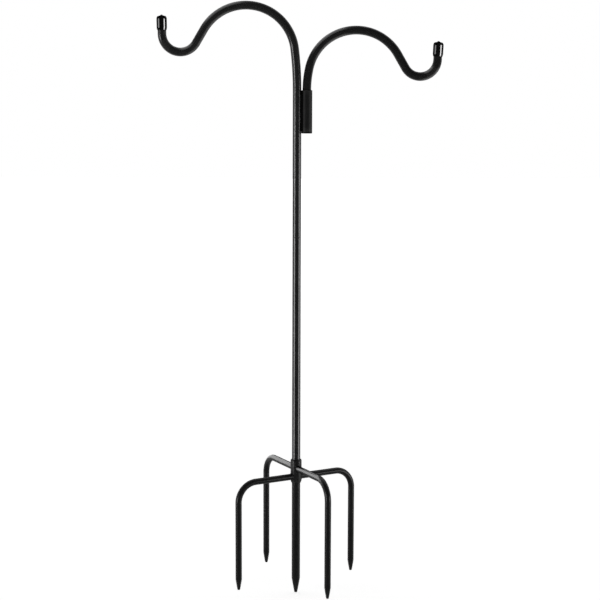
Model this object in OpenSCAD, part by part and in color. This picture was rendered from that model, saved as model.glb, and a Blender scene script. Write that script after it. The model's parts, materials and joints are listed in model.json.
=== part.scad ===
// Double shepherd's hook on a five-prong ground base, for hanging bird feeders.
// Origin: pole axis at the soil line, which is the underside of the hub collar.
// +Z is up, the main hook reaches to -X and the side hook to +X, the front is -Y.

/* [Pole] */
// Outside diameter of the hook and pole tube
tube_d = 16; // [14:0.5:18]
// Wall thickness of the tube
tube_wall = 1.2; // [0.8:0.1:1.6]
// Height at which the hook section slips onto the lower pole
split_z = 472; // [250:1:600]
// Length of coupler inside each of the two tubes
coupler_half = 50; // [20:1:80]

/* [Main hook] */
// Radius of the long bend above the socket
main_lean_r = 622; // [300:5:900]
// Angle of the long bend
main_lean = 7; // [2:0.5:12]
// Radius of the arch, at the tube's centre line
main_arch_r = 90.9; // [70:0.1:110]
// Angle that the tube has turned through at the end of the arch
main_arch = 149.5; // [140:0.5:160]
// Straight length between the arch and the cup
main_run = 28.6; // [10:0.1:50]
// Radius of the cup that a feeder hangs in
main_cup_r = 33.8; // [25:0.1:45]
// Outward lean of the tail
main_tail_lean = 0.9; // [0:0.1:8]
// Length of the tail, up to the end of the tube
main_tail = 30.3; // [26:0.1:50]

/* [Side hook] */
// Radius of the bend that leaves the socket
side_lean_r = 192; // [150:1:400]
// Angle of that bend
side_lean = 12; // [6:0.5:14]
// Radius of the arch, at the tube's centre line
side_arch_r = 89.3; // [70:0.1:110]
// Angle that the tube has turned through at the end of the arch
side_arch = 150; // [140:0.5:160]
// Straight length between the arch and the cup
side_run = 28; // [10:0.1:50]
// Radius of the cup that a feeder hangs in
side_cup_r = 32; // [25:0.1:45]
// Outward lean of the tail
side_tail_lean = 2.6; // [0:0.1:8]
// Length of the tail, up to the end of the tube
side_tail = 29.9; // [26:0.1:50]

/* [Socket] */
// Outside diameter of the socket tube
socket_d = 20.4; // [19.5:0.1:24]
// Height of the socket's lower end
socket_z = 666.8; // [650:0.1:700]
// Length of the socket with its plug
socket_l = 80; // [50:1:100]
// Thickness of the plug's flange
plug_flange = 2.8; // [1.5:0.1:5]
// Length of the plug's stem inside the socket
plug_stem = 8; // [4:0.5:15]
// Radius of the weld beads beside the socket
socket_bead_r = 1.5; // [1.2:0.1:1.8]

/* [Hub] */
// Outside diameter of the hub collar
collar_d = 21.3; // [20.5:0.1:26]
// Height of the hub collar
collar_l = 45; // [43:0.5:60]
// Rounding of the collar's two ends
collar_round = 4; // [3:0.1:4.5]
// Height of the seat that the pole stands on
seat_z = 35; // [34.5:0.1:40]
// Length of spigot inside the pole
spigot_l = 90; // [40:1:150]
// Depth of the ground spike in the collar
spike_inset = 4.5; // [2:0.1:4.6]

/* [Prongs] */
// Diameter of the prong rods
rod_d = 12; // [10:0.5:12.5]
// Height of the lower fork's arms
lower_arm_z = 10.75; // [10.5:0.05:11]
// Height of the upper fork's arms
upper_arm_z = 26.75; // [25:0.05:27]
// Distance from the pole axis to each lower fork leg
lower_reach = 125.5; // [90:0.5:160]
// Distance from the pole axis to each upper fork leg
upper_reach = 129; // [90:0.5:160]
// Direction of the lower fork, counted from +X
lower_heading = 30.5; // [20:0.5:40]
// Direction of the upper fork, counted from +X
upper_heading = -62.5; // [-70:0.5:-50]
// Bend radius of the rods, at the centre line
rod_bend_r = 36.5; // [20:0.5:50]
// Depth of the prong tips below the soil line
prong_depth = 195; // [120:1:300]
// Length of a prong's point
prong_point = 21; // [10:1:30]
// Diameter of the flat at a prong's tip
prong_flat = 4.8; // [2:0.1:8]
// Depth of the ground spike's tip below the soil line
spike_depth = 219.5; // [150:0.5:350]
// Length of the ground spike's point
spike_point = 29; // [15:1:40]
// Diameter of the flat at the ground spike's tip
spike_flat = 5.6; // [2:0.1:10]
// Radius of the weld beads at the hub
hub_bead_r = 1.4; // [1.2:0.1:2.6]

/* [End caps] */
// Length of an end cap without its nub
cap_l = 26.5; // [18:0.5:28]
// Widest diameter of an end cap
cap_d = 19.2; // [18.5:0.1:22]
// Diameter at the mouth of an end cap
cap_mouth_d = 17.6; // [17:0.1:18.5]
// Height over which the mouth widens
cap_flare = 5; // [2:0.5:10]
// Rounding of the cap's shoulder
cap_round = 2.2; // [1.5:0.1:3.5]
// Radius of the cap's domed top
cap_dome_r = 24; // [18:0.5:60]
// Thickness of the cap's top
cap_top = 3.2; // [3:0.1:4]
// Height of the moulding nub on the cap
nub_h = 1.7; // [0.5:0.1:4]

/* [Hidden] */

$fn = 96;

// Fits, all as radial clearances
running = 0.05;
seated = 0.03;

tube_r = tube_d / 2;
bore_r = tube_r - tube_wall;
rod_r = rod_d / 2;
collar_r = collar_d / 2;
collar_bore_r = tube_r + running;
socket_r = socket_d / 2;
socket_bore_r = tube_r + running;
socket_x = tube_r + socket_r;
socket_top = socket_z + socket_l;
shank_z = socket_z + plug_flange + plug_stem;

coupler_wall = 1.5;
entry_chamfer = 1;
lap = 0.5;
lap_step = 0.05;
spigot_r = bore_r - running;
flange_h = seat_z - upper_arm_z - rod_r;
collar_land = 0.4;
bead_inset = 0.8;
spike_bead_inset = 0.4;
head_step = 0.2;
head_r = tube_r - head_step;
head_drop = hub_bead_r + 0.5;
socket_weld_margin = 4;
valley_y = 3.8;
cap_r = cap_d / 2;
cap_depth = cap_l - cap_top;
cap_corner_z = cap_l - cap_dome_r
    + sqrt(pow(cap_dome_r - cap_round, 2) - pow(cap_r - cap_round, 2));
nub_base_r = 3.7;
nub_root = 0.5;
nub_tip_r = 1.8;

coat = [0.05, 0.05, 0.055];
base_coat = [0.09, 0.09, 0.095];
vinyl = [0.02, 0.02, 0.02];
plated = [0.62, 0.63, 0.65];

// A path is a list of steps. [0, length] is straight and [radius, angle] is a bend,
// towards +X when the angle is positive. Every path starts at the origin, going up.
main_path = hook_path(
    socket_top - split_z, main_lean_r, main_lean, main_arch_r, main_arch,
    main_run, main_cup_r, main_tail_lean, main_tail
);
side_path = hook_path(
    socket_top - shank_z, side_lean_r, side_lean, side_arch_r, side_arch,
    side_run, side_cup_r, side_tail_lean, side_tail
);

function hook_path(shank, lean_r, lean, arch_r, arch, run, cup_r, tail_lean, tail) = [
    [0, shank],
    [lean_r, lean],
    [arch_r, arch - lean],
    [0, run],
    [cup_r, tail_lean - arch],
    [0, tail]
];

function fork_path(reach, arm_z) = [
    [0, reach - rod_bend_r],
    [rod_bend_r, 90],
    [0, prong_depth - prong_point + arm_z - rod_bend_r]
];

function is_straight(step) = step[0] == 0;
function step_turn(step) = is_straight(step) ? 0 : step[1];
function step_end(step) = is_straight(step)
    ? [0, 0, step[1]]
    : [sign(step[1]) * step[0] * (1 - cos(step[1])), 0, step[0] * sin(abs(step[1]))];

module ring(outer_r, inner_r) {
    difference() {
        circle(outer_r);
        circle(inner_r);
    }
}

module straight(length, bar_r, before, after) {
    translate([0, 0, -before]) cylinder(r = bar_r, h = before + length + after);
}

module bend(radius, angle, bar_r, before, after) {
    turn_before = before / radius * 180 / PI;
    turn_after = after / radius * 180 / PI;
    rotate([0, 0, angle < 0 ? 180 : 0])
        translate([radius, 0, 0])
            rotate([90, 0, 0])
                rotate([0, 0, 180 - abs(angle) - turn_after])
                    rotate_extrude(angle = turn_before + abs(angle) + turn_after)
                        translate([radius, 0])
                            circle(bar_r);
}

// A round bar along a path. Every second stretch is a hair thinner and laps into its
// neighbours, so that they merge into one solid.
module bent_bar(path, bar_r, i = 0) {
    if (i < len(path)) {
        step = path[i];
        laps = i % 2 == 1;
        step_r = laps ? bar_r - lap_step : bar_r;
        before = laps ? lap : 0;
        after = laps && i < len(path) - 1 ? lap : 0;
        if (is_straight(step)) {
            straight(step[1], step_r, before, after);
        } else {
            bend(step[0], step[1], step_r, before, after);
        }
        translate(step_end(step))
            rotate([0, step_turn(step), 0])
                bent_bar(path, bar_r, i + 1);
    }
}

module bent_tube(path) {
    difference() {
        bent_bar(path, tube_r);
        bent_bar(path, bore_r);
    }
}

// Puts its children at the end of a path, along it
module at_end(path, i = 0) {
    if (i < len(path)) {
        translate(step_end(path[i]))
            rotate([0, step_turn(path[i]), 0])
                at_end(path, i + 1) children();
    } else {
        children();
    }
}

// What a rounding takes off a corner that points to +X and +Y, from the arc's centre
module corner_waste(radius) {
    difference() {
        square(radius + 1);
        circle(radius);
    }
}

module rod_point(outer_r, flat_d, length) {
    cylinder(r1 = outer_r, r2 = flat_d / 2, h = length);
}

module collar_profile() {
    arc_x = collar_r - collar_round;
    arc_z = sqrt(pow(collar_round, 2) - pow(collar_bore_r + collar_land - arc_x, 2));
    difference() {
        translate([collar_bore_r, 0]) square([collar_r - collar_bore_r, collar_l]);
        translate([arc_x, collar_l - arc_z]) corner_waste(collar_round);
        translate([arc_x, arc_z]) mirror([0, 1]) corner_waste(collar_round);
    }
}

module rod_hole(heading, z) {
    translate([0, 0, z])
        rotate([0, 0, heading])
            rotate([0, 90, 0])
                cylinder(r = rod_r + seated, h = 2 * collar_d, center = true);
}

module hub_collar() {
    color(base_coat)
        difference() {
            rotate_extrude() collar_profile();
            rod_hole(lower_heading, lower_arm_z);
            rod_hole(upper_heading, upper_arm_z);
        }
}

// The bar's head is turned down a little where it sits in the collar
module centre_spike() {
    shaft = spike_depth - spike_point;
    color(base_coat) {
        translate([0, 0, -shaft]) cylinder(r = tube_r, h = shaft - head_drop);
        translate([0, 0, -head_drop]) cylinder(r = head_r, h = head_drop + spike_inset);
        translate([0, 0, -shaft])
            rotate([180, 0, 0])
                rod_point(tube_r, spike_flat, spike_point);
    }
}

module spike_weld() {
    color(base_coat)
        rotate_extrude()
            difference() {
                translate([tube_r + spike_bead_inset, 0]) circle(hub_bead_r);
                translate([0, -collar_l]) square([head_r, 2 * collar_l]);
                square([collar_bore_r, collar_l]);
                collar_profile();
            }
}

module pole_spigot() {
    color(plated) {
        translate([0, 0, seat_z - flange_h]) cylinder(r = tube_r, h = flange_h);
        translate([0, 0, seat_z]) cylinder(r = spigot_r, h = spigot_l - entry_chamfer);
        translate([0, 0, seat_z + spigot_l - entry_chamfer])
            cylinder(r1 = spigot_r, r2 = spigot_r - entry_chamfer, h = entry_chamfer);
    }
}

module fork(reach, arm_z, heading) {
    path = fork_path(reach, arm_z);
    translate([0, 0, arm_z])
        for (side = [0, 180])
            rotate([0, 0, heading + side])
                rotate([0, 90, 0]) {
                    bent_bar(path, rod_r);
                    at_end(path) rod_point(rod_r, prong_flat, prong_point);
                }
}

module fork_welds(arm_z, heading) {
    for (side = [0, 180])
        translate([0, 0, arm_z])
            rotate([0, 0, heading + side])
                difference() {
                    translate([collar_r - bead_inset, 0, 0])
                        rotate([0, 90, 0])
                            rotate_extrude()
                                translate([rod_r, 0])
                                    circle(hub_bead_r);
                    rotate([0, 90, 0]) cylinder(r = rod_r, h = collar_d);
                    cylinder(r = collar_r, h = 2 * collar_l, center = true);
                }
}

module lower_fork() {
    color(base_coat) fork(lower_reach, lower_arm_z, lower_heading);
}

module upper_fork() {
    color(base_coat) fork(upper_reach, upper_arm_z, upper_heading);
}

module lower_fork_welds() {
    color(base_coat) fork_welds(lower_arm_z, lower_heading);
}

module upper_fork_welds() {
    color(base_coat) fork_welds(upper_arm_z, upper_heading);
}

module lower_pole() {
    color(coat)
        translate([0, 0, seat_z])
            linear_extrude(height = split_z - seat_z)
                ring(tube_r, bore_r);
}

// The lower half is fixed in the lower pole, and the hook section turns on the upper half
module pole_coupler() {
    color(plated)
        translate([0, 0, split_z])
            difference() {
                union() {
                    translate([0, 0, -coupler_half]) cylinder(r = bore_r, h = coupler_half);
                    cylinder(r = spigot_r, h = coupler_half - entry_chamfer);
                    translate([0, 0, coupler_half - entry_chamfer])
                        cylinder(r1 = spigot_r, r2 = spigot_r - entry_chamfer, h = entry_chamfer);
                }
                cylinder(r = bore_r - coupler_wall, h = 3 * coupler_half, center = true);
            }
}

module place_main() {
    translate([0, 0, split_z]) rotate([0, 0, 180]) children();
}

module place_side() {
    translate([socket_x, 0, shank_z]) children();
}

module main_hook() {
    color(coat) place_main() bent_tube(main_path);
}

module side_hook() {
    color(coat) place_side() bent_tube(side_path);
}

module cap_profile() {
    difference() {
        union() {
            intersection() {
                polygon([
                    [0, 0], [cap_mouth_d / 2, 0], [cap_r, cap_flare],
                    [cap_r, cap_l], [0, cap_l]
                ]);
                translate([0, cap_l - cap_dome_r]) circle(cap_dome_r);
            }
            polygon([
                [0, cap_depth], [nub_base_r, cap_depth], [nub_base_r, cap_l - nub_root],
                [nub_tip_r, cap_l + nub_h], [0, cap_l + nub_h]
            ]);
        }
        translate([cap_r - cap_round, cap_corner_z]) corner_waste(cap_round);
        square([tube_r + seated, cap_depth]);
    }
}

module end_cap(path) {
    color(vinyl)
        at_end(path)
            translate([0, 0, -cap_depth])
                rotate_extrude()
                    cap_profile();
}

module main_hook_cap() {
    place_main() end_cap(main_path);
}

module side_hook_cap() {
    place_side() end_cap(side_path);
}

module side_socket() {
    color(coat)
        translate([socket_x, 0, socket_z + plug_flange])
            linear_extrude(height = socket_l - plug_flange)
                ring(socket_r, socket_bore_r);
}

module socket_plug() {
    color(coat)
        translate([socket_x, 0, socket_z]) {
            cylinder(r = socket_r, h = plug_flange);
            cylinder(r = socket_bore_r - seated, h = plug_flange + plug_stem);
        }
}

// A bead in the valley between the pole and the socket
module socket_weld(side) {
    color(coat)
        translate([0, 0, socket_z + socket_weld_margin])
            linear_extrude(height = socket_l - 2 * socket_weld_margin)
                difference() {
                    translate([tube_r, side * valley_y]) circle(socket_bead_r);
                    circle(tube_r);
                    translate([socket_x, 0]) circle(socket_r);
                }
}

module socket_weld_front() {
    socket_weld(-1);
}

module socket_weld_rear() {
    socket_weld(1);
}

hub_collar();
centre_spike();
spike_weld();
pole_spigot();
lower_fork();
upper_fork();
lower_fork_welds();
upper_fork_welds();
lower_pole();
pole_coupler();
main_hook();
main_hook_cap();
side_socket();
socket_plug();
socket_weld_front();
socket_weld_rear();
side_hook();
side_hook_cap();
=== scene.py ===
"""A double shepherd's hook on a five-prong ground base: the looks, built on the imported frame.

Everything is in metres, in the frame's own axes: origin on the pole's axis at the soil line,
+Z up, the main hook towards -X, the side hook towards +X and the front towards -Y.
"""

import json
import math

import bpy
import numpy as np
from mathutils import Matrix, Vector


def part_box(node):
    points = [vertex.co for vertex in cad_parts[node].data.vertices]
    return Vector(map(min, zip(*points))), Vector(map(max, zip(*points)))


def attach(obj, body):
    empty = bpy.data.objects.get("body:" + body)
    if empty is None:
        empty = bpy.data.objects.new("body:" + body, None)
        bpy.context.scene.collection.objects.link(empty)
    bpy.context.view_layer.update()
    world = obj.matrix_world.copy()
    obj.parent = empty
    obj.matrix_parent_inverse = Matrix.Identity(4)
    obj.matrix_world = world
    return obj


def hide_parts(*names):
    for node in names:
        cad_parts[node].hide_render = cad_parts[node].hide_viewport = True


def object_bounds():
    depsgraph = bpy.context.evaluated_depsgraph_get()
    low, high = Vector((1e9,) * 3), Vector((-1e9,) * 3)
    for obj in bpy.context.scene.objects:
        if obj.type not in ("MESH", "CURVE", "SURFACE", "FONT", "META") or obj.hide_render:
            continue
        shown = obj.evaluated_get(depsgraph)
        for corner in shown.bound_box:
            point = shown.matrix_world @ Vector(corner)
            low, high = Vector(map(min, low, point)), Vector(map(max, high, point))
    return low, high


MM = 0.001
UP = Vector((0, 0, 1))

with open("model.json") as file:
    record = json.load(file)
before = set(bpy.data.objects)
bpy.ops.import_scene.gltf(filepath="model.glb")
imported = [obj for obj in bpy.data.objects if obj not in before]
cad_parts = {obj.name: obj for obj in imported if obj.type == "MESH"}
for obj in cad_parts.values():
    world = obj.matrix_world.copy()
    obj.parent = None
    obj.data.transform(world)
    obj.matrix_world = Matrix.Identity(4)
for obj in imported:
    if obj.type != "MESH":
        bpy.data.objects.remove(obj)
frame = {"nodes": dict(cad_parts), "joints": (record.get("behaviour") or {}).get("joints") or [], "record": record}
cad_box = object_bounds()
record = frame["record"]
mounts = {m["name"]: m for m in record["mounts"]}
joints = {j["name"]: j for j in frame["joints"]}

# Sizes that the frame gives
TUBE_R = mounts["ground_spike"]["dims"]["r_mm"] * MM
ROD_R = mounts["front_left_prong"]["dims"]["r_mm"] * MM
SPLIT_Z = joints["hook_swivel"]["pos_m"][2]
SOCKET_X = joints["side_hook_swivel"]["pos_m"][0]
COLLAR_LOW, COLLAR_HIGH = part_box("hub_collar")
COLLAR_R = COLLAR_HIGH.x
SOCKET_LOW, SOCKET_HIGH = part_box("side_socket")
SOCKET_R = (SOCKET_HIGH.y - SOCKET_LOW.y) / 2
PLUG_LOW, PLUG_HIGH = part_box("socket_plug")
LOWER_LEG = mounts["rear_right_prong"]["pos_m"]
UPPER_LEG = mounts["front_right_prong"]["pos_m"]
LOWER_REACH, UPPER_REACH = math.hypot(*LOWER_LEG[:2]), math.hypot(*UPPER_LEG[:2])
LOWER_HEADING = math.degrees(math.atan2(LOWER_LEG[1], LOWER_LEG[0]))
UPPER_HEADING = math.degrees(math.atan2(UPPER_LEG[1], UPPER_LEG[0]))
PRONG_TIP_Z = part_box("lower_fork")[0].z
LOWER_ARM_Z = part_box("lower_fork")[1].z - ROD_R
UPPER_ARM_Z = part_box("upper_fork")[1].z - ROD_R

# Sizes that the frame doesn't name, as they are in the CAD
TUBE_WALL = 1.2 * MM
SLIP_GAP = 0.05 * MM
SOCKET_BEAD_R = 1.5 * MM
VALLEY_Y = 3.8 * MM

# The hair of a gap where one tube stands on another
JOINT_LINE = 0.12 * MM

# Hook paths: (0, length) is straight and (radius, degrees) a bend, outwards when positive
MAIN_LEAN, MAIN_ARCH, MAIN_TAIL_LEAN = 7, 149.5, 0.9
SIDE_LEAN, SIDE_ARCH, SIDE_TAIL_LEAN = 12, 150, 2.6
MAIN_PATH = [
    (0, SOCKET_HIGH.z - SPLIT_Z),
    (622 * MM, MAIN_LEAN),
    (90.9 * MM, MAIN_ARCH - MAIN_LEAN),
    (0, 28.6 * MM),
    (33.8 * MM, MAIN_TAIL_LEAN - MAIN_ARCH),
    (0, 30.3 * MM),
]
SIDE_PATH = [
    (0, SOCKET_HIGH.z - PLUG_HIGH.z),
    (192 * MM, SIDE_LEAN),
    (89.3 * MM, SIDE_ARCH - SIDE_LEAN),
    (0, 28 * MM),
    (32 * MM, SIDE_TAIL_LEAN - SIDE_ARCH),
    (0, 29.9 * MM),
]
ROD_BEND_R = 36.5 * MM
CAP_LENGTH, CAP_TOP = 26.5 * MM, 3.2 * MM
CAP_R, CAP_MOUTH_R = 9.6 * MM, 8.8 * MM
CAP_FLARE, CAP_ROUND, CAP_DOME_R = 5 * MM, 3 * MM, 24 * MM
CAP_SHOULDER_STRETCH = 1.9
CAP_GAP = 0.03 * MM
NUB_ROOT_R, NUB_HEIGHT = 4.6 * MM, 1.7 * MM
PRONG_POINT = 21 * MM
PRONG_FLAT_R = 2.4 * MM
HEAD_DROP, HEAD_STEP = 1.9 * MM, 0.2 * MM
SPIKE_POINT = 29 * MM
SPIKE_FLAT_R = 2.8 * MM

CAP_PIECES = ("main_hook_end_cap", "side_hook_end_cap")
PLATED_NODES = ("pole_spigot", "pole_coupler")

# Fineness of the meshes: points round a bar, degrees along a bend, length along a straight
SEGMENTS = 64
BEND_STEP = 1.5
STRAIGHT_STEP = 10 * MM
WELD_SIDES = 18
STEPS_PER_RIPPLE = 6

# A cut end is eased by this much. Wear goes from 0, as new, to 1, rubbed to the metal
EASED_EDGE = 0.25 * MM
CUT_WEAR, EASED_WEAR, SADDLE_WEAR, POINT_WEAR = 0.9, 0.6, 0.35, 0.5

# Where a feeder's hanger rubs in each cup, as shares of the tube's length
MAIN_SADDLE, SIDE_SADDLE = (0.83, 0.93), (0.78, 0.9)


# ---------------------------------------------------------------- node trees


def grey(value):
    return (value, value, value, 1)


class Nodes:
    """Short calls for building a node tree"""

    def __init__(self, tree):
        self.tree = tree

    def add(self, kind, **values):
        node = self.tree.nodes.new(kind)
        for key, value in values.items():
            if key in node.inputs:
                node.inputs[key].default_value = value
            else:
                setattr(node, key, value)
        return node

    def link(self, source, target):
        self.tree.links.new(source, target)

    def feed(self, socket, value):
        """Set a socket to a number or a colour, or link it to another node's output"""
        if isinstance(value, bpy.types.NodeSocket):
            self.link(value, socket)
        else:
            socket.default_value = value

    def noise(self, vector, scale, detail, roughness=0.55):
        """Cloudy noise, with as many clouds to the metre as its scale says"""
        node = self.add("ShaderNodeTexNoise", Scale=scale, Detail=detail, Roughness=roughness)
        self.link(vector, node.inputs["Vector"])
        return node.outputs["Fac"]

    def ramp(self, value, low, high, out_low, out_high, shape="LINEAR"):
        """Carries the span from low to high over to the span from out_low to out_high"""
        node = self.add("ShaderNodeMapRange", clamp=True, interpolation_type=shape)
        limits = (("From Min", low), ("From Max", high), ("To Min", out_low), ("To Max", out_high))
        for key, number in limits:
            node.inputs[key].default_value = number
        self.link(value, node.inputs["Value"])
        return node.outputs[0]

    def math(self, operation, first, second):
        node = self.add("ShaderNodeMath", operation=operation)
        self.feed(node.inputs[0], first)
        self.feed(node.inputs[1], second)
        return node.outputs[0]

    def mix(self, factor, first, second, blend="MIX"):
        """One colour worked into another"""
        node = self.add("ShaderNodeMix", data_type="RGBA", blend_type=blend)
        self.feed(node.inputs["Factor"], factor)
        self.feed(node.inputs[6], first)
        self.feed(node.inputs[7], second)
        return node.outputs[2]

    def bump(self, height, distance, below=None):
        node = self.add("ShaderNodeBump", Strength=1.0, Distance=distance)
        self.link(height, node.inputs["Height"])
        if below is not None:
            self.link(below, node.inputs["Normal"])
        return node.outputs["Normal"]

    def sheen(self, shader, painted_shade_share, low, high, facing, grazing):
        """Specular level that falls from facing to grazing as the surface turns away from low to
        high, and that a given share of painted crevice shade lowers in crevices"""
        level = shader.inputs["Specular IOR Level"]
        level.default_value = facing
        graze = self.add("ShaderNodeLayerWeight", Blend=0.5)
        falling = self.ramp(graze.outputs["Facing"], low, high, facing, grazing)
        # Painted shade: the crevice shade share darkens the sheen where parts crowd together
        if painted_shade_share is not None:
            falling = self.math("MULTIPLY", painted_shade_share, falling)
        self.link(falling, level)


# ---------------------------------------------------------------- camera, light and stage

LENS_MM, SENSOR_MM = 94.89, 36
CAMERA_AT = Vector((0.00661, -2.9699, 0.75242))
CAMERA_PITCH = math.radians(7.666)
CAMERA_ROLL = math.radians(0.17)

# Brightness of the world by direction, counted from -1 in front of the object to 1 behind it
WORLD_FRONT, WORLD_SIDE, WORLD_BEHIND = 0.03, 0.8, 0.08
SIDE_FROM, SIDE_TO = -0.15, 0.35
BEHIND_FROM, BEHIND_TO = 0.72, 0.95

STRIP_DISTANCE = 3.0
FLOOR_HALF = 14
FLOOR_DROP = 0.5 * MM
FLOOR_ALBEDO, FLOOR_GLOW = 0.8, 0.78
GLOW_FROM, GLOW_TO = 1.0, 5.0
SURROUND_R = 30
SURROUND_RINGS, SURROUND_SPOKES = 12, 32


def make_camera():
    data = bpy.data.cameras.new("camera")
    data.sensor_width = SENSOR_MM
    data.lens = LENS_MM
    data.clip_start = 0.05
    data.clip_end = 200
    camera = bpy.data.objects.new("camera", data)
    bpy.context.scene.collection.objects.link(camera)
    level = Matrix.Rotation(math.radians(90) - CAMERA_PITCH, 4, "X")
    rolled = level @ Matrix.Rotation(CAMERA_ROLL, 4, "Z")
    camera.matrix_world = Matrix.Translation(CAMERA_AT) @ rolled
    bpy.context.scene.camera = camera


def panel(name, place, target, width, height, radiance):
    """A soft rectangular lamp that faces its target, and that the camera doesn't see"""
    data = bpy.data.lights.new(name, "AREA")
    data.shape = "RECTANGLE"
    data.size = width
    data.size_y = height
    data.energy = radiance * math.pi * width * height
    lamp = bpy.data.objects.new(name, data)
    bpy.context.scene.collection.objects.link(lamp)
    lamp.location = place
    lamp.rotation_euler = (Vector(target) - lamp.location).to_track_quat("-Z", "Y").to_euler()
    lamp.visible_camera = False
    return lamp


def strip(name, azimuth, width, low, high, radiance, spread=180):
    """An upright panel at an azimuth: 0 is in front of the object and 90 to its right"""
    turn = math.radians(azimuth)
    middle = (low + high) / 2
    place = (STRIP_DISTANCE * math.sin(turn), -STRIP_DISTANCE * math.cos(turn), middle)
    lamp = panel(name, place, (0, 0, middle), width, high - low, radiance)
    lamp.data.spread = math.radians(spread)
    return lamp


def shine_on(name, pieces, *lamps):
    """Let these lamps reach the named pieces and nothing else"""
    reach = bpy.data.collections.new(name + "_lights_reach")
    for piece in pieces:
        reach.objects.link(bpy.data.objects[piece])
    for lamp in lamps:
        lamp.light_linking.receiver_collection = reach


def make_lights():
    """Lamps for each group of pieces, so that every group has the right stripes of light"""
    main_hook, side_hook = "main_hook_tube", "side_hook_tube"
    pole = (
        "lower_pole_tube",
        "side_socket_sleeve",
        "socket_foot_plug",
        "socket_weld_bead_front",
        "socket_weld_bead_rear",
    )
    others = (main_hook, side_hook) + pole + PLATED_NODES + CAP_PIECES
    base = [o.name for o in bpy.data.objects if o.type == "MESH" and o.name not in others]
    shine_on(
        "pole",
        pole,
        strip("left_strip", azimuth=-61, width=1.3, low=-1.1, high=0.60, radiance=9.8),
        strip("right_strip", azimuth=76, width=1.6, low=-1.0, high=0.60, radiance=7.0),
    )
    shine_on(
        "zinc",
        PLATED_NODES,
        strip("zinc_left_strip", azimuth=-58, width=1.5, low=-0.9, high=0.9, radiance=1.1),
        strip("zinc_right_strip", azimuth=68, width=1.0, low=-0.9, high=0.9, radiance=0.7),
    )
    shine_on(
        "base",
        base,
        strip("base_left_strip", azimuth=-61, width=1.3, low=-0.6, high=0.3, radiance=7.0),
        strip("base_right_strip", azimuth=75, width=1.8, low=-0.6, high=0.3, radiance=3.6),
    )
    shine_on(
        "main_hook",
        (main_hook,),
        strip("hook_left_strip", azimuth=-61, width=1.3, low=-0.03, high=0.76, radiance=0.53, spread=34),
        strip("hook_right_strip", azimuth=74, width=1.5, low=-0.18, high=0.62, radiance=6.8),
    )
    shine_on(
        "hooks",
        (main_hook, side_hook),
        panel("hook_overhead", (-1.5, 0.05, 3.3), (-0.1, 0, 0.88), width=4.7, height=2.4, radiance=1.5),
        panel("hook_bounce", (1.6, 0.1, -0.9), (-0.05, 0, 0.85), width=2.6, height=2.4, radiance=1.0),
    )
    shine_on(
        "caps",
        CAP_PIECES,
        strip("cap_left_strip", azimuth=-70, width=1.6, low=0.48, high=1.25, radiance=16.0),
        strip("cap_right_strip", azimuth=61, width=1.2, low=-0.6, high=1.25, radiance=66.0),
    )
    shine_on(
        "upper_fork",
        ("upper_fork_rod",),
        panel("arm_light", (-1.35, 1.5, 0.62), (0, 0, 0.02), width=2.6, height=1.7, radiance=4.2),
    )


def make_world():
    """Dim in front of the object, and bright beside and behind it but for straight behind, so
    that round bars show a dark core and a dark outline"""
    world = bpy.data.worlds.new("studio")
    bpy.context.scene.world = world
    world.use_nodes = True
    world.node_tree.nodes.clear()
    nodes = Nodes(world.node_tree)
    way = nodes.add("ShaderNodeTexCoord").outputs["Generated"]
    split = nodes.add("ShaderNodeSeparateXYZ")
    nodes.link(way, split.inputs[0])
    depth = split.outputs["Y"]
    side = nodes.ramp(depth, SIDE_FROM, SIDE_TO, WORLD_FRONT, WORLD_SIDE, "SMOOTHSTEP")
    share_behind = WORLD_BEHIND / WORLD_SIDE
    behind = nodes.ramp(depth, BEHIND_FROM, BEHIND_TO, 1.0, share_behind, "SMOOTHSTEP")
    shine = nodes.add("ShaderNodeBackground")
    out = nodes.add("ShaderNodeOutputWorld")
    nodes.link(nodes.math("MULTIPLY", side, behind), shine.inputs["Strength"])
    nodes.link(shine.outputs[0], out.inputs["Surface"])


def stage_material(name, albedo, glow):
    material = bpy.data.materials.new(name)
    material.use_nodes = True
    shader = material.node_tree.nodes["Principled BSDF"]
    shader.inputs["Base Color"].default_value = grey(albedo)
    shader.inputs["Roughness"].default_value = 1.0
    shader.inputs["Specular IOR Level"].default_value = 0.0
    shader.inputs["Emission Color"].default_value = grey(1)
    shader.inputs["Emission Strength"].default_value = glow
    return material


def floor_material():
    """Pale and lit by itself a little, more so far away, where it meets the white surround"""
    material = stage_material("pale_floor", FLOOR_ALBEDO, FLOOR_GLOW)
    nodes = Nodes(material.node_tree)
    place = nodes.add("ShaderNodeTexCoord").outputs["Object"]
    away = nodes.add("ShaderNodeVectorMath", operation="LENGTH")
    nodes.link(place, away.inputs[0])
    glow = nodes.ramp(away.outputs["Value"], GLOW_FROM, GLOW_TO, FLOOR_GLOW, 1.0, "SMOOTHSTEP")
    nodes.link(glow, material.node_tree.nodes["Principled BSDF"].inputs["Emission Strength"])
    return material


def make_floor():
    """A pale floor just under the tips"""
    z = cad_box[0][2] - FLOOR_DROP
    corners = ((-1, -1), (1, -1), (1, 1), (-1, 1))
    mesh = bpy.data.meshes.new("floor")
    mesh.from_pydata([(x * FLOOR_HALF, y * FLOOR_HALF, z) for x, y in corners], [], [(0, 1, 2, 3)])
    floor = bpy.data.objects.new("floor", mesh)
    floor.data.materials.append(floor_material())
    floor.visible_glossy = False
    return floor


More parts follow.
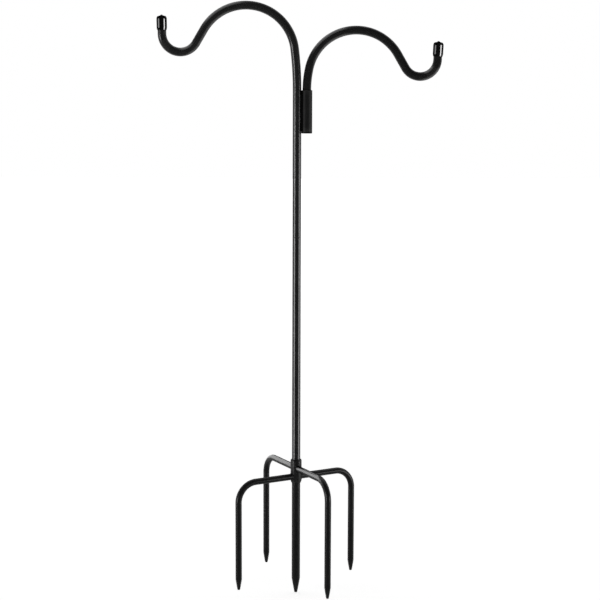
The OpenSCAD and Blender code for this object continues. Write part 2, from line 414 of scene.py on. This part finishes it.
def make_surround():
    """A white surround that only the camera sees"""
    verts, faces = [], []
    for i in range(SURROUND_RINGS + 1):
        lift = math.radians(-90 + 180 * i / SURROUND_RINGS)
        level_r = SURROUND_R * math.cos(lift)
        for k in range(SURROUND_SPOKES):
            turn = 2 * math.pi * k / SURROUND_SPOKES
            height = SURROUND_R * math.sin(lift)
            verts.append((level_r * math.cos(turn), level_r * math.sin(turn), height))
    for i in range(SURROUND_RINGS):
        here, there = i * SURROUND_SPOKES, (i + 1) * SURROUND_SPOKES
        for k in range(SURROUND_SPOKES):
            n = (k + 1) % SURROUND_SPOKES
            faces.append((here + k, here + n, there + n, there + k))
    mesh = bpy.data.meshes.new("surround")
    mesh.from_pydata(verts, [], faces)
    surround = bpy.data.objects.new("surround", mesh)
    surround.data.materials.append(stage_material("white_surround", 0.0, 1.0))
    for ray in ("diffuse", "glossy", "transmission", "volume_scatter", "shadow"):
        setattr(surround, "visible_" + ray, False)
    return surround


def make_stage():
    floor, surround = make_floor(), make_surround()
    for piece in (floor, surround):
        bpy.context.scene.collection.objects.link(piece)


# ---------------------------------------------------------------- materials

RUBBED_STEEL = (0.055, 0.054, 0.052, 1)
# How far the painted crevice shade looks for nearby surfaces
PAINTED_SHADE_REACH = 14 * MM


def new_material(name):
    material = bpy.data.materials.new(name)
    material.use_nodes = True
    nodes = Nodes(material.node_tree)
    shader = material.node_tree.nodes["Principled BSDF"]
    place = nodes.add("ShaderNodeTexCoord").outputs["Object"]
    worn = nodes.add("ShaderNodeAttribute", attribute_name="wear").outputs["Fac"]
    return material, nodes, shader, place, worn


def powder_coat(name, tone, roughness, peel, specular, rim, painted_shade_span=(0.4, 0.8)):
    """Baked black powder coat: orange peel, fine grain, dust of lighter grains, rubbed edges, and
    painted shade that darkens its colour and sheen in crevices. peel is the orange peel's depth.
    rim is the span of facing over which the sheen falls, and the share left. The crevice span is
    the share of open sky at which the painted shade is darkest, and at which there is none."""
    material, nodes, shader, place, worn = new_material(name)
    cloud = nodes.noise(place, 38, 4)
    peel_height = nodes.noise(place, 620, 2)
    grain = nodes.noise(place, 3600, 2)
    fleck = nodes.ramp(nodes.noise(place, 5200, 1), 0.68, 0.8, 0, 1)
    base = nodes.mix(cloud, grey(tone * 0.8), grey(tone * 1.25))
    dust = nodes.mix(nodes.math("MULTIPLY", fleck, 0.25), grey(0), grey(0.05))
    dusted = nodes.mix(1, base, dust, "ADD")
    rub = nodes.math("MULTIPLY", worn, nodes.ramp(nodes.noise(place, 900, 3), 0.35, 0.65, 0, 1))
    rubbed = nodes.mix(rub, dusted, RUBBED_STEEL)
    # Painted shade: ambient occlusion darkens the coat's colour, and its sheen, in crevices and between parts
    sky = nodes.add("ShaderNodeAmbientOcclusion", samples=8, Distance=PAINTED_SHADE_REACH).outputs["AO"]
    painted_crevice_shade = nodes.ramp(sky, painted_shade_span[0], painted_shade_span[1], 0.05, 1)
    nodes.link(nodes.mix(1, rubbed, painted_crevice_shade, "MULTIPLY"), shader.inputs["Base Color"])
    low, high, share = rim
    nodes.sheen(shader, painted_crevice_shade, low, high, specular, specular * share)
    uneven = nodes.ramp(nodes.noise(place, 95, 3), 0.3, 0.7, roughness - 0.02, roughness + 0.02)
    smoothed = nodes.math("SUBTRACT", uneven, nodes.math("MULTIPLY", rub, 0.08))
    nodes.link(smoothed, shader.inputs["Roughness"])
    orange_peel = nodes.bump(peel_height, peel)
    nodes.link(nodes.bump(grain, peel * 0.2, orange_peel), shader.inputs["Normal"])
    return material


def vinyl(name):
    """Dipped vinyl: deep gloss with a slow waviness and a few fine scuffs"""
    material, nodes, shader, place, worn = new_material(name)
    tint = nodes.mix(nodes.noise(place, 120, 3), grey(0.0008), grey(0.0018))
    nodes.link(tint, shader.inputs["Base Color"])
    scuff = nodes.ramp(nodes.noise(place, 700, 4, 0.7), 0.62, 0.72, 0, 1)
    rough = nodes.math("ADD", nodes.math("MULTIPLY", scuff, 0.06), nodes.math("MULTIPLY", worn, 0.12))
    nodes.link(nodes.math("ADD", rough, 0.07), shader.inputs["Roughness"])
    nodes.sheen(shader, None, 0.3, 0.5, 0.15, 0)
    wavy = nodes.bump(nodes.noise(place, 150, 1), 0.02 * MM)
    nodes.link(nodes.bump(nodes.noise(place, 2600, 2), 0.002 * MM, wavy), shader.inputs["Normal"])
    return material


def plated_steel(name):
    """Zinc plating with a faint spangle and turning marks round the axis"""
    material, nodes, shader, place, worn = new_material(name)
    spangle = nodes.add("ShaderNodeTexVoronoi", Scale=260)
    nodes.link(place, spangle.inputs["Vector"])
    tint = nodes.mix(spangle.outputs["Distance"], (0.42, 0.43, 0.45, 1), (0.62, 0.63, 0.66, 1))
    nodes.link(tint, shader.inputs["Base Color"])
    shader.inputs["Metallic"].default_value = 1.0
    uneven = nodes.ramp(nodes.noise(place, 420, 4), 0.3, 0.7, 0.26, 0.42)
    nodes.link(uneven, shader.inputs["Roughness"])
    turned = nodes.add("ShaderNodeTexWave", bands_direction="Z", Scale=900, Distortion=0.6)
    nodes.link(place, turned.inputs["Vector"])
    nodes.link(nodes.bump(turned.outputs["Fac"], 0.008 * MM), shader.inputs["Normal"])
    return material


# ---------------------------------------------------------------- mesh building


def skin(name, rings, closed=False, capped=False, split=None):
    """A surface through rings. Each ring is (centre, across, over, radius, wear). At split the
    skin ends and starts again, with a lid on either side of the gap."""
    turns = np.linspace(0, 2 * math.pi, SEGMENTS, endpoint=False)
    cos, sin = np.cos(turns), np.sin(turns)
    verts, wear = [], []
    for centre, across, over, radius, worn in rings:
        ring = np.array(centre) + np.outer(radius * cos, across) + np.outer(radius * sin, over)
        verts.append(ring)
        wear.extend([worn] * SEGMENTS)
    count = len(rings)
    faces = []

    def lid(row, up):
        loop = range(row * SEGMENTS, (row + 1) * SEGMENTS)
        faces.append(tuple(loop) if up else tuple(reversed(loop)))

    for i in range(count if closed else count - 1):
        if i + 1 == split:
            lid(i, True)
            lid(i + 1, False)
            continue
        here, there = i * SEGMENTS, ((i + 1) % count) * SEGMENTS
        for k in range(SEGMENTS):
            n = (k + 1) % SEGMENTS
            faces.append((here + k, here + n, there + n, there + k))
    if capped:
        lid(0, False)
        lid(count - 1, True)
    return make_mesh(name, np.vstack(verts), faces, wear)


def make_mesh(name, verts, faces, wear):
    mesh = bpy.data.meshes.new(name)
    mesh.from_pydata([tuple(map(float, v)) for v in verts], [], faces)
    mesh.attributes.new("wear", "FLOAT", "POINT").data.foreach_set("value", [float(w) for w in wear])
    mesh.polygons.foreach_set("use_smooth", [True] * len(mesh.polygons))
    mesh.set_sharp_from_angle(angle=math.radians(40))
    mesh.update()
    piece = bpy.data.objects.new(name, mesh)
    bpy.context.scene.collection.objects.link(piece)
    return piece


def stations(path):
    """(x, z, angle) along a path that starts at the origin going up, angle counted towards +X"""
    x = z = angle = 0.0
    points = [(x, z, angle)]
    for radius, amount in path:
        if radius == 0:
            steps = max(1, round(amount / STRAIGHT_STEP))
            for _ in range(steps):
                x += amount / steps * math.sin(angle)
                z += amount / steps * math.cos(angle)
                points.append((x, z, angle))
        else:
            side = 1 if amount > 0 else -1
            steps = max(3, round(abs(amount) / BEND_STEP))
            centre_x = x + side * radius * math.cos(angle)
            centre_z = z - side * radius * math.sin(angle)
            start = angle
            for i in range(1, steps + 1):
                angle = start + math.radians(amount) * i / steps
                x = centre_x - side * radius * math.cos(angle)
                z = centre_z + side * radius * math.sin(angle)
                points.append((x, z, angle))
    return points


class Place:
    """Carries a path's own X and Z into the frame, turned about Z"""

    def __init__(self, origin, heading=0.0):
        turn = math.radians(heading)
        self.origin = Vector(origin)
        self.side = Vector((-math.sin(turn), math.cos(turn), 0))
        self.x = Vector((math.cos(turn), math.sin(turn), 0))
        self.z = UP.copy()

    def frame_at(self, station):
        """(point, direction, across, over) at a station"""
        x, z, angle = station
        point = self.origin + self.x * x + self.z * z
        along = self.x * math.sin(angle) + self.z * math.cos(angle)
        across = self.x * math.cos(angle) - self.z * math.sin(angle)
        return point, along, across, self.side


def rings_on(place, profile, station=(0.0, 0.0, 0.0)):
    """Rings of a turned shape. The profile is (height along the axis, radius, wear)."""
    point, along, across, over = place.frame_at(station)
    return [(point + along * height, across, over, radius, worn) for height, radius, worn in profile]


def arc(centre_h, centre_r, radius, start, stop, worn, steps):
    """Profile points on an arc, with angles in degrees from the axis direction outwards"""
    points = []
    for i in range(steps + 1):
        t = math.radians(start + (stop - start) * i / steps)
        points.append((centre_h + radius * math.cos(t), centre_r + radius * math.sin(t), worn))
    return points


def eased_end(worn=0.0):
    """The outside of a tube's cut end, eased and rubbed, with the wear of the tube beyond it"""
    return [
        (0, TUBE_R - EASED_EDGE, CUT_WEAR),
        (EASED_EDGE * 0.3, TUBE_R - EASED_EDGE * 0.3, CUT_WEAR),
        (EASED_EDGE, TUBE_R, EASED_WEAR),
        (EASED_EDGE * 3, TUBE_R, worn),
    ]


def bent_tube(name, place, path, worn_at):
    """A hollow tube with a rounded far rim, which stops a hair short of what it stands on.
    worn_at gives the wear for a share of the tube's length."""
    line = stations(path)
    last = len(line) - 1
    rim = TUBE_WALL / 2
    rings = []
    for i, station in enumerate(line):
        point, along, across, over = place.frame_at(station)
        worn = worn_at(i / last)
        if i == 0:
            foot = point + along * JOINT_LINE
            rings += [(foot + along * h, across, over, r, w) for h, r, w in eased_end(worn)]
        else:
            back = rim if i == last else 0
            rings.append((point - along * back, across, over, TUBE_R, worn))
    point, along, across, over = place.frame_at(line[-1])
    for degrees in (45, 90, 135):
        turn = math.radians(degrees)
        centre = point - along * (rim - rim * math.sin(turn))
        rings.append((centre, across, over, TUBE_R - rim + rim * math.cos(turn), 0.5))
    for i in range(last, -1, -1):
        point, along, across, over = place.frame_at(line[i])
        back = {last: rim, 0: -JOINT_LINE}.get(i, 0)
        rings.append((point - along * back, across, over, TUBE_R - TUBE_WALL, 0))
    return skin(name, rings, closed=True)


def rubbed_in(saddle):
    """Wear along a hook's tube, from where a hanger rubs in its cup"""
    return lambda share: SADDLE_WEAR if saddle[0] < share < saddle[1] else 0.0


def build_hooks():
    main_place = Place((0, 0, SPLIT_Z), heading=180)
    side_place = Place((SOCKET_X, 0, PLUG_HIGH.z))
    main = bent_tube("main_hook_tube", main_place, MAIN_PATH, rubbed_in(MAIN_SADDLE))
    side = bent_tube("side_hook_tube", side_place, SIDE_PATH, rubbed_in(SIDE_SADDLE))
    return main, side, main_place, side_place


def build_lower_pole():
    low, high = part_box("lower_pole")
    length = high.z - low.z
    bore = TUBE_R - TUBE_WALL
    steps = round(length / STRAIGHT_STEP)
    profile = eased_end()
    profile += [(length * i / steps, TUBE_R, 0) for i in range(1, steps)]
    profile += [(length - h, r, w) for h, r, w in reversed(eased_end())]
    profile += [(length, bore, 0), (0, bore, 0)]
    return skin("lower_pole_tube", rings_on(Place((0, 0, low.z)), profile), closed=True)


def build_collar():
    """The hub collar: a thick sleeve whose ends are rolled over towards the bar"""
    bore = TUBE_R + SLIP_GAP
    length = COLLAR_HIGH.z - COLLAR_LOW.z
    roll = 4 * MM
    land = 0.4 * MM
    centre_r = COLLAR_R - roll
    drop = math.sqrt(roll**2 - (bore + land - centre_r) ** 2)
    sweep = math.degrees(math.acos(drop / roll))
    lower = arc(drop, centre_r, roll, 180 - sweep, 90, 0.3, 8)
    upper = arc(length - drop, centre_r, roll, 90, sweep, 0.3, 8)
    profile = [(0, bore, 0)] + lower + upper + [(length, bore, 0.5)]
    return skin("hub_sleeve", rings_on(Place((0, 0, COLLAR_LOW.z)), profile), closed=True)


def point_profile(length, base_r, flat_r):
    """A forged point: a slightly bellied cone to a small rounded flat"""
    nose = 0.7 * MM
    steps = 14
    profile = []
    for i in range(steps):
        share = i / steps
        belly = 0.12 * MM * math.sin(math.pi * share)
        profile.append((length * share, base_r + (flat_r - base_r) * share + belly, POINT_WEAR * share))
    profile.append((length - nose, flat_r, POINT_WEAR))
    profile.append((length - nose * 0.3, flat_r - nose * 0.25, POINT_WEAR))
    profile.append((length, flat_r - nose, POINT_WEAR))
    return profile


def build_fork(name, arm_z, heading, reach, tip_z):
    """One rod bent into a square U, pointed at both ends"""
    leg = arm_z - ROD_BEND_R - tip_z - PRONG_POINT
    line = stations([(0, reach - ROD_BEND_R), (ROD_BEND_R, 90), (0, leg)])
    point = point_profile(PRONG_POINT, ROD_R, PRONG_FLAT_R)[1:]
    halves = []
    for turn in (180, 0):
        place = sideways(Place((0, 0, arm_z), heading + turn))
        half = []
        for station in line[1:]:
            centre, along, across, over = place.frame_at(station)
            half.append((centre, across, over, ROD_R, 0))
        halves.append(half + rings_on(place, point, line[-1]))
        if turn == 180:
            centre, along, across, over = place.frame_at(line[0])
            middle = (centre, across, -over, ROD_R, 0)
    # The far half runs the other way, so its rings are turned to match the near half's
    far = [(centre, across, -over, r, w) for centre, across, over, r, w in reversed(halves[0])]
    return skin(name, far + [middle] + halves[1], capped=True)


def sideways(place):
    """The same place with its path lying down: the path's up goes outwards and its out goes down"""
    out, up = place.x.copy(), place.z.copy()
    place.z = out
    place.x = -up
    return place


def build_spike():
    """The centre spike, built downwards from its turned-down head in the collar"""
    low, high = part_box("centre_spike")
    shaft = high.z - low.z - SPIKE_POINT
    place = Place((0, 0, high.z))
    place.z = -place.z
    place.side = -place.side
    steps = round(shaft / STRAIGHT_STEP)
    head = high.z - COLLAR_LOW.z + HEAD_DROP
    head_r = TUBE_R - HEAD_STEP
    profile = [(0, head_r, 0), (head, head_r, 0), (head + HEAD_STEP, TUBE_R, 0)]
    profile += [(shaft * i / steps, TUBE_R, 0) for i in range(1, steps)]
    profile += [(shaft + h, r, w) for h, r, w in point_profile(SPIKE_POINT, TUBE_R, SPIKE_FLAT_R)]
    return skin("ground_spike_bar", rings_on(place, profile), capped=True)


def build_socket():
    """The side socket, a sleeve with eased rims, and the flanged plug in its foot"""
    bore = TUBE_R + SLIP_GAP
    length = SOCKET_HIGH.z - SOCKET_LOW.z
    ease = 0.5 * MM
    inner = 0.3 * MM
    profile = arc(ease, SOCKET_R - ease, ease, 180, 90, 0.4, 4)
    profile += [(length * i / 8, SOCKET_R, 0) for i in range(1, 8)]
    profile += arc(length - ease, SOCKET_R - ease, ease, 90, 0, 0.5, 4)
    profile += [(length, bore + inner, 0.6), (length - inner, bore, 0.6), (0, bore, 0)]
    sleeve_place = Place((SOCKET_X, 0, SOCKET_LOW.z))
    sleeve = skin("side_socket_sleeve", rings_on(sleeve_place, profile), closed=True)

    flange = SOCKET_LOW.z - PLUG_LOW.z
    height = PLUG_HIGH.z - PLUG_LOW.z
    foot_round, top_round = 0.6 * MM, 0.35 * MM
    profile = [(0, SOCKET_R - 3 * MM, 0)]
    profile += arc(foot_round, SOCKET_R - foot_round, foot_round, 180, 90, 0.5, 5)
    profile += arc(flange - top_round, SOCKET_R - top_round, top_round, 90, 0, 0.4, 4)
    profile += [
        (flange, bore - 0.4 * MM, 0),
        (height - 0.5 * MM, bore - 0.05 * MM, 0),
        (height, bore - 0.6 * MM, 0),
    ]
    plug_place = Place((SOCKET_X, 0, PLUG_LOW.z))
    plug = skin("socket_foot_plug", rings_on(plug_place, profile), capped=True)
    return sleeve, plug


def build_cap(name, place, path):
    """A dipped end cap: rolled mouth, slight barrel, round shoulder, domed top and a moulding nub"""
    bore = TUBE_R + CAP_GAP
    shoulder_h = CAP_LENGTH - CAP_DOME_R
    shoulder_h += math.sqrt((CAP_DOME_R - CAP_ROUND) ** 2 - (CAP_R - CAP_ROUND) ** 2)
    meet = math.degrees(math.asin((CAP_R - CAP_ROUND) / (CAP_DOME_R - CAP_ROUND)))
    root = math.degrees(math.asin(NUB_ROOT_R / CAP_DOME_R))
    lip = (CAP_MOUTH_R - bore) / 2
    profile = arc(lip, bore + lip, lip, 270, 90, 0.2, 8)
    for i in range(1, 9):
        t = i / 8
        widen = (CAP_R - CAP_MOUTH_R) * math.sin(t * math.pi / 2)
        profile.append((lip + (CAP_FLARE - lip) * t, CAP_MOUTH_R + widen, 0))
    # The shoulder's round is drawn out downwards from where the dome begins
    shoulder = arc(shoulder_h, CAP_R - CAP_ROUND, CAP_ROUND, 90, meet, 0.1, 10)
    crown_h = shoulder[-1][0]
    shoulder = [(crown_h - (crown_h - h) * CAP_SHOULDER_STRETCH, r, w) for h, r, w in shoulder]
    profile += [(CAP_FLARE + (shoulder[0][0] - CAP_FLARE) * i / 5, CAP_R, 0) for i in range(1, 5)]
    profile += shoulder
    profile += arc(CAP_LENGTH - CAP_DOME_R, 0, CAP_DOME_R, meet, root, 0, 4)[1:]
    # The nub's last ring stays a little open, for the skin's lid to close
    foot = profile[-1][0]
    for i in range(1, 13):
        t = i / 12.5
        rise = (CAP_LENGTH + NUB_HEIGHT - foot) * (1 - math.cos(math.pi * t)) / 2
        profile.append((foot + rise, NUB_ROOT_R * (1 - t), 0.1))
    # Inside, the wall runs from under the top straight back to the mouth's first ring
    depth = CAP_LENGTH - CAP_TOP
    inside = [(depth + SLIP_GAP, 0.5 * MM, 0), (depth + SLIP_GAP, bore, 0)]
    end = stations(path)[-1]
    point, along, across, over = place.frame_at(end)
    start = point - along * depth
    rings = [(start + along * h, across, over, r, w) for h, r, w in profile + inside]
    return skin(name, rings, closed=True, split=len(profile))


def build_caps(main_place, side_place):
    main = build_cap(CAP_PIECES[0], main_place, MAIN_PATH)
    side = build_cap(CAP_PIECES[1], side_place, SIDE_PATH)
    return main, side


def weld_ring(name, centre, axis, start, ring_r, bead_r, lift_at, ripples, seed):
    """A weld bead run round an axis. lift_at(turn) gives the bead's height along the axis."""
    rng = np.random.default_rng(seed)
    axis = Vector(axis).normalized()
    start = Vector(start)
    over = axis.cross(start)
    steps = ripples * STEPS_PER_RIPPLE
    wobble = rng.normal(0, 0.06, ripples)
    verts, faces = [], []
    for i in range(steps):
        turn = 2 * math.pi * i / steps
        ripple = i * ripples / steps
        phase = ripple % 1.0
        swell = 1 + 0.07 * math.sin(2 * math.pi * phase)
        swell += 0.5 * wobble[int(ripple)] * math.sin(math.pi * phase)
        r = bead_r * swell
        out = start * math.cos(turn) + over * math.sin(turn)
        for k in range(WELD_SIDES):
            t = 2 * math.pi * k / WELD_SIDES
            lift = axis * (lift_at(turn) + r * math.sin(t))
            verts.append(Vector(centre) + lift + out * (ring_r + r * math.cos(t)))
    for i in range(steps):
        j = (i + 1) % steps
        for k in range(WELD_SIDES):
            n = (k + 1) % WELD_SIDES
            here, there = i * WELD_SIDES, j * WELD_SIDES
            faces.append((here + k, there + k, there + n, here + n))
    return make_mesh(name, verts, faces, [0.0] * len(verts))


def collar_wall_at(turn):
    """How far out the collar's wall lies at this turn round a rod"""
    aside = (ROD_R + 0.4 * MM) * math.cos(turn)
    return math.sqrt(COLLAR_R**2 - aside**2) - 0.2 * MM


def build_hub_welds():
    """A bead under the collar, and a saddle-shaped bead round each rod where it leaves the collar"""
    bead = 1.2 * MM
    under = weld_ring(
        "spike_weld_bead",
        centre=(0, 0, COLLAR_LOW.z),
        axis=UP,
        start=(1, 0, 0),
        ring_r=TUBE_R + 0.35 * MM,
        bead_r=bead,
        lift_at=lambda turn: 0.0,
        ripples=26,
        seed=3,
    )
    groups = []
    rods = (("lower", LOWER_ARM_Z, LOWER_HEADING), ("upper", UPPER_ARM_Z, UPPER_HEADING))
    for label, arm_z, heading in rods:
        beads = []
        for side in (0, 180):
            turn = math.radians(heading + side)
            out = Vector((math.cos(turn), math.sin(turn), 0))
            ring = weld_ring(
                label + "_bead",
                centre=(0, 0, arm_z),
                axis=out,
                start=UP.cross(out),
                ring_r=ROD_R + 0.1 * MM,
                bead_r=bead,
                lift_at=collar_wall_at,
                ripples=22,
                seed=7 + side + int(arm_z * 1000),
            )
            beads.append(ring)
        groups.append(join(label + "_fork_weld_beads", beads))
    return under, groups


def build_socket_welds():
    """Beads in the two valleys between the pole and the socket"""
    x = (TUBE_R * SOCKET_X) / (TUBE_R + SOCKET_R)
    ripples = 20
    total = STEPS_PER_RIPPLE * ripples
    pieces = []
    for name, side in (("socket_weld_bead_front", -1), ("socket_weld_bead_rear", 1)):
        low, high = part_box(name.replace("bead_", ""))
        rng = np.random.default_rng(11 + side)
        rings = []
        for i in range(total + 1):
            share = i / total
            phase = (i / STEPS_PER_RIPPLE) % 1
            end = min(share, 1 - share) * total / STEPS_PER_RIPPLE
            swell = min(1.0, 0.35 + 0.65 * math.sqrt(min(end, 1.0)))
            ripple = 1 + 0.06 * math.sin(2 * math.pi * phase) + rng.normal(0, 0.01)
            z = low.z + (high.z - low.z) * share
            r = SOCKET_BEAD_R * swell * ripple
            rings.append(((x, side * VALLEY_Y, z), (1, 0, 0), (0, 1, 0), r, 0))
        pieces.append(skin(name, rings, capped=True))
    return pieces


def join(name, pieces):
    """One mesh out of several"""
    verts, faces, wear = [], [], []
    for piece in pieces:
        start = len(verts)
        verts += [tuple(v.co) for v in piece.data.vertices]
        faces += [tuple(start + i for i in p.vertices) for p in piece.data.polygons]
        wear += [d.value for d in piece.data.attributes["wear"].data]
        bpy.data.objects.remove(piece)
    return make_mesh(name, verts, faces, wear)


def finish_piece(piece, material, slot_name, body, *nodes):
    piece.data.materials.append(material)
    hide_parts(*nodes)
    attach(piece, body)


def build_object():
    pole_coat = powder_coat(
        "pole_coat",
        tone=0.012,
        roughness=0.25,
        peel=0.005 * MM,
        specular=0.5,
        rim=(0.6, 0.9, 0.3),
        painted_shade_span=(0.2, 0.55),
    )
    socket_coat = powder_coat(
        "socket_coat",
        tone=0.010,
        roughness=0.45,
        peel=0.02 * MM,
        specular=0.15,
        rim=(0.5, 0.9, 0.5),
        painted_shade_span=(0.74, 0.97),
    )
    # Painted shade: a darker copy of the socket's powder coat, near black and almost without sheen, that paints
    # the shade along the plug's flange under the socket
    plug_painted_shade_coat = powder_coat(
        "plug_painted_shade_coat",
        tone=0.002,
        roughness=0.45,
        peel=0.02 * MM,
        specular=0.02,
        rim=(0.5, 0.9, 0.5),
    )
    base_coat = powder_coat(
        "base_coat",
        tone=0.011,
        roughness=0.32,
        peel=0.008 * MM,
        specular=0.5,
        rim=(0.35, 0.7, 0.12),
    )
    cap_vinyl = vinyl("cap_vinyl")
    zinc = plated_steel("plated_steel")

    main_tube, side_tube, main_place, side_place = build_hooks()
    finish_piece(main_tube, pole_coat, "pole_coat", "hook_section", "main_hook")
    finish_piece(side_tube, pole_coat, "pole_coat", "side_arm", "side_hook")
    finish_piece(build_lower_pole(), pole_coat, "pole_coat", "pole", "lower_pole")

    main_cap, side_cap = build_caps(main_place, side_place)
    finish_piece(main_cap, cap_vinyl, "cap_vinyl", "hook_section", "main_hook_cap")
    finish_piece(side_cap, cap_vinyl, "cap_vinyl", "side_arm", "side_hook_cap")

    sleeve, plug = build_socket()
    finish_piece(sleeve, socket_coat, "socket_coat", "hook_section", "side_socket")
    finish_piece(plug, plug_painted_shade_coat, "socket_coat", "hook_section", "socket_plug")
    for bead, side in zip(build_socket_welds(), ("front", "rear")):
        finish_piece(bead, socket_coat, "socket_coat", "hook_section", "socket_weld_" + side)

    finish_piece(build_collar(), base_coat, "base_coat", "base", "hub_collar")
    finish_piece(build_spike(), base_coat, "base_coat", "base", "centre_spike")
    lower = build_fork("lower_fork_rod", LOWER_ARM_Z, LOWER_HEADING, LOWER_REACH, PRONG_TIP_Z)
    upper = build_fork("upper_fork_rod", UPPER_ARM_Z, UPPER_HEADING, UPPER_REACH, PRONG_TIP_Z)
    finish_piece(lower, base_coat, "base_coat", "base", "lower_fork")
    finish_piece(upper, base_coat, "base_coat", "base", "upper_fork")
    under, (lower_welds, upper_welds) = build_hub_welds()
    finish_piece(under, base_coat, "base_coat", "base", "spike_weld")
    finish_piece(lower_welds, base_coat, "base_coat", "base", "lower_fork_welds")
    finish_piece(upper_welds, base_coat, "base_coat", "base", "upper_fork_welds")

    for node in PLATED_NODES:
        part = frame["nodes"][node]
        part.data.materials.clear()
        part.data.materials.append(zinc)


make_camera()
make_world()
make_stage()
build_object()
make_lights()
bpy.context.scene.view_settings.view_transform = "Standard"
